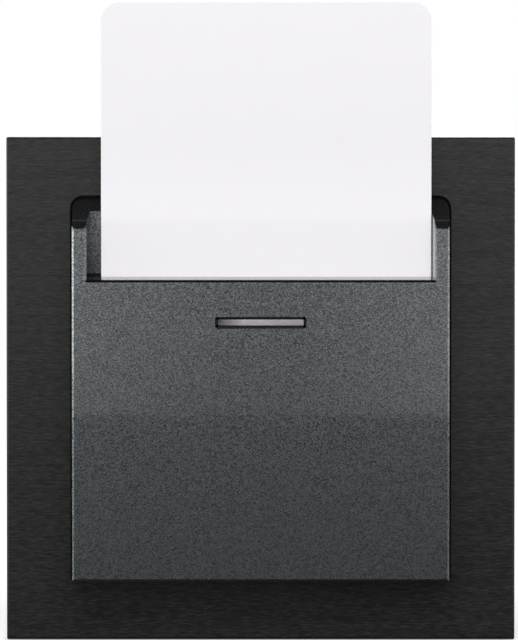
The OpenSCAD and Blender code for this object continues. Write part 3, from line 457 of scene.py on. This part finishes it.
# %% Light guide, lamp and board
def milky_guide(g):
    """Painted light: brightest a little left of its middle and dark off the front face, where the
    pocket shades its sides; a painted glint is a band across the bar that moves sideways with
    height."""
    across, face = g.along(X), g.along(Y)
    streaks = g.noise(g.place((900, 300, 2500)), 1.0, 2.0)
    lit = g.band(across, -7.2 * MM, -2.8 * MM) * g.band(across, -1 * MM, 7.5 * MM, 1.0, 0.74)
    slanted = across + (g.along(Z) - GUIDE) * 2.2
    glint = (g.within(slanted, 0.9 * MM, 1.05 * MM, 0.25 * MM)
             + g.within(slanted, 4.3 * MM, 4.4 * MM, 0.15 * MM) * 0.5)
    milk = g.band(lit * 0.85 + streaks * 0.3, 0.1, 1.1) + glint * 0.22
    tone = milk * g.fall(face, -15.95 * MM, -15.8 * MM)
    return g.node("ShaderNodeBsdfPrincipled", None, {
        "Base Color": g.mix(tone, rgb(8, 8, 9), rgb(166, 160, 165)), "IOR": 1.5,
        "Roughness": g.band(streaks, 0.3, 0.7, 0.14, 0.3)})


def clear_resin(g):
    """Nearly clear, with a faint cloud in tint and gloss."""
    cloud = g.noise(g.place(), 1500.0, 2.0)
    return g.node("ShaderNodeBsdfPrincipled", None, {
        "Base Color": g.mix(cloud, rgb(214, 224, 232), rgb(240, 246, 250)), "IOR": 1.53,
        "Roughness": g.band(cloud, 0.3, 0.7, 0.05, 0.14), "Transmission Weight": 0.8})


def green_board(g):
    """The joints of a brick pattern, turned into the board's plane, are the tracks."""
    tracks = g.node("ShaderNodeTexBrick", {"offset": 0.35}, {
        "Vector": g.place(turn=(math.radians(90), 0, 0)), "Scale": 1.0, "Mortar Size": 0.22 * MM,
        "Brick Width": 5.2 * MM, "Row Height": 1.9 * MM}, out=1)
    weave = g.noise(g.place(), 2600.0, 2.0)
    lacquer = g.mix(weave, rgb(22, 74, 42), rgb(38, 98, 58))
    return g.node("ShaderNodeBsdfPrincipled", None, {
        "Base Color": g.mix(tracks * 0.6, lacquer, rgb(74, 132, 78)), "IOR": 1.55,
        "Roughness": g.band(weave, 0.3, 0.7, 0.22, 0.36),
        "Normal": g.bump(tracks + weave * 0.2, 0.3, 0.04 * MM)})


finishes["clear_plastic"] = finish_of("milky_guide", milky_guide)
finishes["lamp"] = finish_of("clear_resin", clear_resin)
finishes["board"] = finish_of("green_board", green_board)
print("finishes", len(finishes))

# %% [markdown]
# ## Skin over rings
# Most of the new pieces are a stack of closed outlines, like the contour lines of a hill: the edge
# of the frame, the card and the light guide all follow a rectangle with round corners, set in a
# little and moved a little in depth from ring to ring. Cubes with bevels would give every edge the
# same round. So one function gives such an outline, and another puts a skin of four-sided faces
# over a stack of them.

# %% Outlines
def outline(half_w, half_h, radii, middle=(0.0, 0.0), steps=8):
    """Rectangle with round corners: each point is a corner's centre plus radius times (cos, sin) of
    its angle, and the angle runs once round in four quarters. Gives x and z in millimetres."""
    quarter = np.arange(4)[:, None]
    angle = (quarter + np.linspace(0, 1, steps)[None, :]) * math.pi / 2
    radius = np.broadcast_to(np.asarray(radii, float), 4)[:, None]
    side_x, side_z = np.array([1, -1, -1, 1])[:, None], np.array([1, 1, -1, -1])[:, None]
    x = side_x * (half_w - radius) + radius * np.cos(angle)
    z = side_z * (half_h - radius) + radius * np.sin(angle)
    return np.stack([x + middle[0], z + middle[1]], -1).reshape(-1, 2)


def at_depth(loop, y):
    """Outline in the plane at depth y."""
    return np.insert(loop, 1, y, axis=1)


def round_over(radius, steps=5):
    """Quarter circle: how far each step lies in from the side and back from the face."""
    turn = np.linspace(0, math.pi / 2, steps)
    return np.stack([radius * (1 - np.cos(turn)), radius * (1 - np.sin(turn))], -1)


print("an outline has", len(outline(10, 10, 2)), "points, a round edge", len(round_over(1)))

# %% Skin over rings
def skin(name, rings, ring_shaped=False, smooth=40):
    """Mesh over rings[i, j]: point j of ring i meets its neighbours j + 1 and i + 1 in one face.
    The stack closes on itself if ring_shaped, otherwise its two ends are capped. Edges sharper
    than smooth degrees stay sharp."""
    n, m = rings.shape[:2]
    i, j = np.meshgrid(np.arange(n if ring_shaped else n - 1), np.arange(m), indexing="ij")
    above, beside = (i + 1) % n, (j + 1) % m
    corners = [i * m + j, i * m + beside, above * m + beside, above * m + j]
    faces = np.stack(corners, -1).reshape(-1, 4).tolist()
    if not ring_shaped:
        faces += [np.arange(m).tolist(), (np.arange(m) + (n - 1) * m).tolist()]
    mesh = bpy.data.meshes.new(name)
    mesh.from_pydata(rings.reshape(-1, 3) * MM, [], faces)
    work = bmesh.new()
    work.from_mesh(mesh)
    bmesh.ops.recalc_face_normals(work, faces=work.faces)
    work.to_mesh(mesh)
    work.free()
    mesh.polygons.foreach_set("use_smooth", np.ones(len(mesh.polygons), bool))
    mesh.set_sharp_from_angle(angle=math.radians(smooth))
    made = bpy.data.objects.new(name, mesh)
    bpy.context.scene.collection.objects.link(made)
    return made


bodies = frame["record"]["behaviour"]["bodies"]
body_of_node = {node: body for body, nodes in bodies.items() for node in nodes}
slot_of_node = {part["node"]: part["material_slot"] for part in frame["record"]["subparts"]}


def stands_for(piece, node, rides=True):
    """Gives a piece the finish of the node that it replaces, and its body if it rides, and hides
    the node.
    """
    piece.data.materials.append(finishes[slot_of_node[node]])
    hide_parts(node)
    if rides:
        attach(piece, body_of_node[node])
    print(piece.name, "has", len(piece.data.polygons), "faces")


def box_mm(node):
    """Lowest and highest corner of a node in millimetres."""
    return [np.array(corner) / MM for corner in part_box(node)]


# %% [markdown]
# ## Frame plate
# The plate is cut from sheet, so its window and its outer edge differ: outside a wide edge that was
# rolled round before brushing, inside a narrow one from the punch. A Bevel modifier gives both the
# same width. Here the section of the plate is written down, point by point, and carried once round:
# part of its points follow the outer outline, part of them the window.

# %% Frame plate
# Sizes of the new pieces are in millimetres.
PLATE_CORNER, LEAST_CORNER = 0.3, 0.03
WINDOW_GAP, COVER_CORNER, FOOT_CORNER = 0.4, 1.6, 0.05


def frame_plate_rings(low, high, window, window_r, outer_edge, inner_edge, hold):
    """Closed section round the frame: up the outer side, over the round edge, across the face and
    down the side of the window. hold is a narrow strip beside each round, and keeps faces flat."""
    half_w, half_h = high[0], high[2]
    face, rear = low[1], high[1]
    outside, inside = round_over(outer_edge), round_over(inner_edge)[::-1]

    def outer(inset, y):
        corner = max(PLATE_CORNER - inset, LEAST_CORNER)
        return at_depth(outline(half_w - inset, half_h - inset, corner), y)

    def inner(out, y):
        return at_depth(outline(window[0] + out, window[1] + out, np.array(window_r) + out), y)

    return np.array([outer(0, rear), outer(0, face + outer_edge + hold),
                     *[outer(d, face + y) for d, y in outside], outer(outer_edge + hold, face),
                     inner(inner_edge + hold, face), *[inner(d, face + y) for d, y in inside],
                     inner(0, face + inner_edge + hold), inner(0, rear)])


plate_low, plate_high = box_mm("frame_plate")
cover_high = box_mm("card_cover")[1]
window = (cover_high[0] + WINDOW_GAP, cover_high[2] + WINDOW_GAP)
top_r = COVER_CORNER + WINDOW_GAP
plate = skin("brushed_plate", frame_plate_rings(
    plate_low, plate_high, window, (top_r, top_r, FOOT_CORNER, FOOT_CORNER),
    outer_edge=0.35, inner_edge=0.12, hold=0.06), ring_shaped=True)
stands_for(plate, "frame_plate")

# %% [markdown]
# ## Card
# A card of this kind is punched from laminated sheet, and the punch leaves its edge a little round
# on both sides. A Bevel modifier on the solid would keep the facets of its corners. A stack of
# rings of its own makes these smoother as well, and it is the simplest stack of all: in at the
# front face, out over a small round, straight across the thickness, and in again behind.

# %% Card
def middle_and_halves(low, high):
    """Middle, half width and half height of a box, seen from the front."""
    middle = ((high[0] + low[0]) / 2, (high[2] + low[2]) / 2)
    return middle, (high[0] - low[0]) / 2, (high[2] - low[2]) / 2


def card_rings(low, high, corner, edge, hold):
    """Rings from the front face over the rim to the rear face: each is the outline, set in and
    moved in depth by one step of the quarter circle."""
    middle, half_w, half_h = middle_and_halves(low, high)
    front, rear = low[1], high[1]

    def ring(inset, y):
        loop = outline(half_w - inset, half_h - inset, corner - inset, middle, steps=14)
        return at_depth(loop, y)

    over = round_over(edge)
    return np.array([ring(edge + hold, front), *[ring(d, front + y) for d, y in over[::-1]],
                     *[ring(d, rear - y) for d, y in over], ring(edge + hold, rear)])


card = skin("blank_card", card_rings(*box_mm("key_card"), corner=3.18, edge=0.12, hold=0.1))
stands_for(card, "key_card")

# %% [markdown]
# ## Light guide
# The bar of the orientation lamp is clear plastic with a round front edge, and behind it a flange
# that keeps it from falling out. A cube with bevels would round the flange and the bar alike. The
# same stack of rings goes from its face back to the flange, with each edge as it is.

# %% Light guide
def guide_rings(low, high, flange, flange_t, corner, edge, draft, hold=0.06, least=0.05):
    """Rings from the bar's face over its round edge, back to the flange, out and over it. The bar
    narrows by draft towards its face, as a moulding does. hold is the bevel of the flange and the
    flat beside the round edge, least the smallest corner and the fillet at the bar's foot."""
    middle, half_w, half_h = middle_and_halves(low, high)
    half_w, half_h = half_w - flange, half_h - flange
    front, rear = low[1], high[1]
    step = rear - flange_t

    def ring(out, y):
        rounding = max(corner + min(out, 0), least)
        return at_depth(outline(half_w + out, half_h + out, rounding, middle), y)

    over = round_over(edge)[::-1]
    return np.array([ring(-draft - edge - hold, front),
                     *[ring(-draft - d, front + y) for d, y in over],
                     ring(0, step - least), ring(least, step), ring(flange - hold, step),
                     ring(flange, step + hold), ring(flange, rear - hold),
                     ring(flange - hold, rear)])


guide = skin("guide_bar", guide_rings(*box_mm("light_guide"), flange=1.2, flange_t=0.76,
                                      corner=0.3, edge=0.14, draft=0.08))
stands_for(guide, "light_guide")

# %% [markdown]
# ## Return spring
# The carriage's spring is wound from round wire, and its last turn at each end lies flat on the one
# before, so that it stands straight. A Screw modifier has one pitch only. Here the height along the
# wire is a running sum of a pitch that is small at both ends, and a circle is carried along it. The
# spring stays with the switch as a whole.

# %% Return spring
# Turns that lie closed at each end, turns over which the pitch opens, and what both pitches weigh.
CLOSED_TURNS, OPENING_TURNS = 0.8, 0.5
CLOSED_PITCH, OPEN_PITCH = 2.1, 0.2


def spring_rings(low, high, wire, turns, steps=30, sides=12):
    """Wire centre = axis + radius * (cos a, sin a), with the height as the running sum of the
    pitch; around it wire * (cos b * outwards + sin b * up the wire's side)."""
    axis = (low + high) / 2
    radius = (high[1] - low[1]) / 2 - wire
    t = np.linspace(0, 1, turns * steps + 1)
    from_end = np.minimum(t, 1 - t) * turns
    open_part = np.clip((from_end - CLOSED_TURNS) / OPENING_TURNS, 0, 1)
    flat_pitch = CLOSED_PITCH * wire / (high[2] - low[2]) * turns
    rise = np.cumsum(np.where(t > 0, flat_pitch + open_part * turns * OPEN_PITCH, 0.0))
    height = low[2] + wire + (high[2] - low[2] - 2 * wire) * rise / rise[-1]
    a = t * turns * 2 * math.pi
    centre = np.stack([axis[0] + radius * np.cos(a), axis[1] + radius * np.sin(a), height], -1)
    along = np.gradient(centre, axis=0)
    along /= np.linalg.norm(along, axis=1, keepdims=True)
    outwards = np.stack([np.cos(a), np.sin(a), 0 * a], -1)
    side = np.cross(along, outwards)
    b = np.linspace(0, 2 * math.pi, sides, endpoint=False)[None, :, None]
    return centre[:, None] + wire * (np.cos(b) * outwards[:, None] + np.sin(b) * side[:, None])


spring_low, spring_high = box_mm("slider_spring")
spring = skin("return_spring", spring_rings(spring_low, spring_high, wire=0.22, turns=9))
stands_for(spring, "slider_spring", rides=False)
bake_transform(spring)

# %% [markdown]
# ## Fine edges on the solids
# A real moulding or stamping never has a razor edge: light catches a tiny round along it. The other
# solids are kept as they are, and modifiers finish them: Weld joins their loose triangles, a planar
# Decimate gives whole flat faces back, and Bevel rounds each corner by about a tenth of a
# millimetre. Modelling those rounds in every solid would take far more faces.

# %% Fine edges on the solids
EDGE = {"card_cover": 0.2, "frame_carrier": 0.15, "pocket_back": 0.12, "mounting_ring": 0.1,
        "base_lid": 0.14, "base_housing": 0.2, "card_slider": 0.14, "contact_rocker": 0.12,
        "claw_left": 0.12, "claw_right": 0.12, "terminal_clamps": 0.1, "card_grip_springs": 0.04,
        "common_contact": 0.06, "on_contact": 0.06, "off_contact": 0.06, "moving_contact": 0.05,
        "lamp_contacts": 0.05, "lamp_board": 0.06, "claw_pins": 0.12, "rocker_pin": 0.12,
        "assembly_screws": 0.1, "terminal_screws": 0.1, "claw_screws": 0.1}
SAME_POINT, SAME_PLANE, SHARP = 0.002 * MM, math.radians(0.5), math.radians(25)


def fine_edges(solid, width):
    """Rounds the sharp corners of a solid by width millimetres."""
    weld = solid.modifiers.new("weld", "WELD")
    weld.merge_threshold = SAME_POINT
    flat = solid.modifiers.new("flat", "DECIMATE")
    flat.decimate_type, flat.angle_limit = "DISSOLVE", SAME_PLANE
    edge = solid.modifiers.new("edge", "BEVEL")
    edge.width, edge.segments, edge.limit_method = width * MM, 2, "ANGLE"
    edge.angle_limit, edge.use_clamp_overlap, edge.harden_normals = SHARP, True, False


for node, solid in frame["nodes"].items():
    solid.data.materials.clear()
    solid.data.materials.append(finishes[slot_of_node[node]])
    if node in EDGE:
        fine_edges(solid, EDGE[node])
print("edges rounded on", len(EDGE), "solids")

# %% [markdown]
# ## Floor and background
# The switch stands on a plain pale floor in front of white. A real white backdrop needs so much
# light that it spills over the object. Here floor and world are white by themselves to the camera,
# to reflections and through clear plastic, and light that bounces about meets a plain pale floor
# and a dim world. Near the switch the camera also sees its soft shadow: there the floor is a pale
# surface with just enough glow to lift it to white where no shadow falls.

# %% Floor and background
WHITE = (1, 1, 1, 1)
DIM, GLOW = 0.45, 0.38
SHADE_NEAR, SHADE_FAR = 0.3, 0.7   # metres from the switch
FLOOR, FLOOR_HALF = cad_box[0][2] - 0.2 * MM, 4


def looked_at(g):
    """1 for rays of the camera, of reflections and through clear pieces, 0 for bounced light."""
    seen, mirrored, through = (g.node("ShaderNodeLightPath", out=name) for name in (
        "Is Camera Ray", "Is Glossy Ray", "Is Transmission Ray"))
    return g.node("ShaderNodeMath", {"operation": "MINIMUM"},
                  {0: seen + mirrored + through, 1: 1.0})


def floor_white(g):
    """White to look at, and to the camera near the switch the pale surface plus its glow."""
    lit = g.node("ShaderNodeBsdfDiffuse", None, {"Color": rgb(225, 225, 226)})
    white = g.node("ShaderNodeEmission", None, {"Color": WHITE, "Strength": 1.0})
    plain = g.node("ShaderNodeMixShader", None, {0: looked_at(g), 1: lit, 2: white})
    pale = g.node("ShaderNodeBsdfDiffuse", None, {"Color": WHITE})
    glow = g.node("ShaderNodeEmission", None, {"Color": WHITE, "Strength": GLOW})
    shaded = g.node("ShaderNodeAddShader", None, {0: pale, 1: glow})
    away = (g.along(X) * g.along(X) + g.along(Y) * g.along(Y)) ** 0.5
    near = (g.node("ShaderNodeLightPath", out="Is Camera Ray")
            * (1 - g.band(away, SHADE_NEAR, SHADE_FAR)))
    return g.node("ShaderNodeMixShader", None, {0: near, 1: plain, 2: shaded})


def oblong(x0, x1, y0, y1):
    """Corners of a rectangle from x0 to x1 and from y0 to y1."""
    return [(x0, y0), (x1, y0), (x1, y1), (x0, y1)]


def sheet(name, corners, z, material):
    """Flat level sheet through its corners at height z, in metres."""
    mesh = bpy.data.meshes.new(name)
    mesh.from_pydata([(x, y, z) for x, y in corners], [], [range(len(corners))])
    mesh.materials.append(material)
    made = bpy.data.objects.new(name, mesh)
    bpy.context.scene.collection.objects.link(made)
    return made


sheet("floor", oblong(-FLOOR_HALF, FLOOR_HALF, -FLOOR_HALF, FLOOR_HALF), FLOOR,
      finish_of("floor_white", floor_white))
world = bpy.data.worlds.new("studio")
bpy.context.scene.world = world
world.use_nodes = True
sky = Graph(world.node_tree)
dim_sky = sky.node("ShaderNodeBackground", None, {"Color": WHITE, "Strength": DIM})
white_sky = sky.node("ShaderNodeBackground", None, {"Color": WHITE, "Strength": 1.0})
sky.node("ShaderNodeOutputWorld", None, {"Surface": sky.node(
    "ShaderNodeMixShader", None, {0: looked_at(sky), 1: dim_sky, 2: white_sky})})
print("floor at", round(FLOOR / MM, 1), "mm")

# %% [markdown]
# ## Flags
# A shiny dark face shows what stands opposite more than it shows its own colour. In the photograph
# the cover's lower half mirrors a dark table and its upper half the bright room beyond, with a
# sharp step between. One could paint that step, but then it would stick to the cover from every
# side. Here it is done as in a studio, with flags: dark sheets that only reflections see, on the
# floor in front, at the sides and overhead. The table fades to white past its sides, so that no
# hard line crosses the cover in other views. A dark round sheet that only bounced light sees keeps
# the floor from lighting the cover from below.

# %% Flags
# In metres, the table's far and near edge and half its width at both.
TABLE, TABLE_NEAR, HALF_NEAR, HALF_FAR = 0.656, 0.006, 0.044, 0.13
FADE = 2.0
FLAG_TONE, AISLE_TONE = 0.05, 0.35


def flag(name, corners, z, build, mirrored=True, bounced=False):
    """Sheet out of the picture, as a photographer's flag: only reflections see it, or the light
    that bounces about."""
    made = sheet(name, corners, z, finish_of(name, build))
    made.visible_camera = made.visible_shadow = made.visible_transmission = False
    made.visible_glossy, made.visible_diffuse = mirrored, bounced


def glowing(g, tone):
    """Shader that shows one grey without any light."""
    return g.node("ShaderNodeEmission", None, {"Color": (tone, tone, tone, 1)})


def pale_by(g, pale, tone):
    """Shader from that grey where pale is 0 to white where it is 1."""
    return g.node("ShaderNodeMixShader", None, {0: pale, 1: glowing(g, tone), 2: glowing(g, 1.0)})


def dark_grey(g):
    """The same dark grey all over."""
    return glowing(g, FLAG_TONE)


def table_grey(g):
    """Dark table, a little paler near the switch and on its left. Its half width grows with the
    distance, and past that it pales until it is white at FADE times the half width."""
    x, y = g.along(X), g.along(Y)
    tone = g.band(y, -TABLE, -0.25, 0.0, 0.045) + g.band(x, -0.05, 0.05, 0.02, -0.012)
    tone = g.band(tone, 0.0, 1.0)
    half = g.band(y, -TABLE_NEAR, -TABLE, HALF_NEAR, HALF_FAR)
    past = g.band(g.size(x) / half, 0.95, FADE)
    return pale_by(g, tone + past * (1 - tone), 0.0)


def aisle_grey(g):
    """Grey strip down the room's middle that fades to white at its sides."""
    return pale_by(g, g.band(g.size(g.along(X)), 0.01, 0.07), AISLE_TONE)


around = np.linspace(0, 2 * math.pi, 96, endpoint=False)
disc = np.stack([TABLE * np.cos(around), TABLE * np.sin(around)], -1).tolist()
near, far = HALF_NEAR * FADE, HALF_FAR * FADE
trapezium = [(-near, -TABLE_NEAR), (near, -TABLE_NEAR), (far, -TABLE), (-far, -TABLE)]
flag("table_shade", disc, FLOOR + 0.3 * MM, dark_grey, mirrored=False, bounced=True)
flag("front_flag", trapezium, FLOOR + 0.2 * MM, table_grey)
flag("left_flag", oblong(-TABLE, -0.15, -0.06, 0.06), FLOOR + 0.1 * MM, dark_grey)
flag("right_flag", oblong(0.15, TABLE, -0.06, 0.06), FLOOR + 0.1 * MM, dark_grey)
flag("aisle_flag", oblong(-0.08, 0.08, -2.4, -0.6), FLOOR + 0.1 * MM, aisle_grey)
flag("roof_flag", oblong(-1, 1, -1.25, 1.6), 0.6, dark_grey)

# %% [markdown]
# ## Lamps
# Soft lamps light the switch: one in front and one above, two at the sides that draw a thin line
# along the cover's edges, one behind. Small lamps would give hard spots on the lacquer. The two
# large lamps in front would show in it too, so they are hidden from reflections.

# %% Lamps
def soft_box(name, place, aim, size, power, mirrored=True):
    """Area lamp of that width and height in metres, turned towards a point."""
    lamp = bpy.data.lights.new(name, "AREA")
    lamp.shape, lamp.size, lamp.size_y, lamp.energy = "RECTANGLE", size[0], size[1], power
    made = bpy.data.objects.new(name, lamp)
    made.location = place
    made.rotation_mode = "QUATERNION"
    made.rotation_quaternion = (Vector(aim) - Vector(place)).to_track_quat("-Z", "Y")
    made.visible_glossy = mirrored
    bpy.context.scene.collection.objects.link(made)
    print("lamp", name, "of", power, "W")


soft_box("front_box", (0, -1.6, 0.75), (0, 0, 0.1), (1.6, 1.1), 12, mirrored=False)
soft_box("left_box", (-0.85, -0.03, 0.28), (0, -0.03, 0.28), (0.5, 0.64), 3.0)
soft_box("right_box", (0.85, -0.03, 0.28), (0, -0.03, 0.28), (0.5, 0.64), 0.8)
soft_box("top_box", (0, -0.95, 1.0), (0, 0, 0), (0.9, 0.6), 12, mirrored=False)
soft_box("rear_box", (0.4, 1.2, 0.35), (0, 0, 0), (1.0, 0.8), 12)

# %% [markdown] ## Close
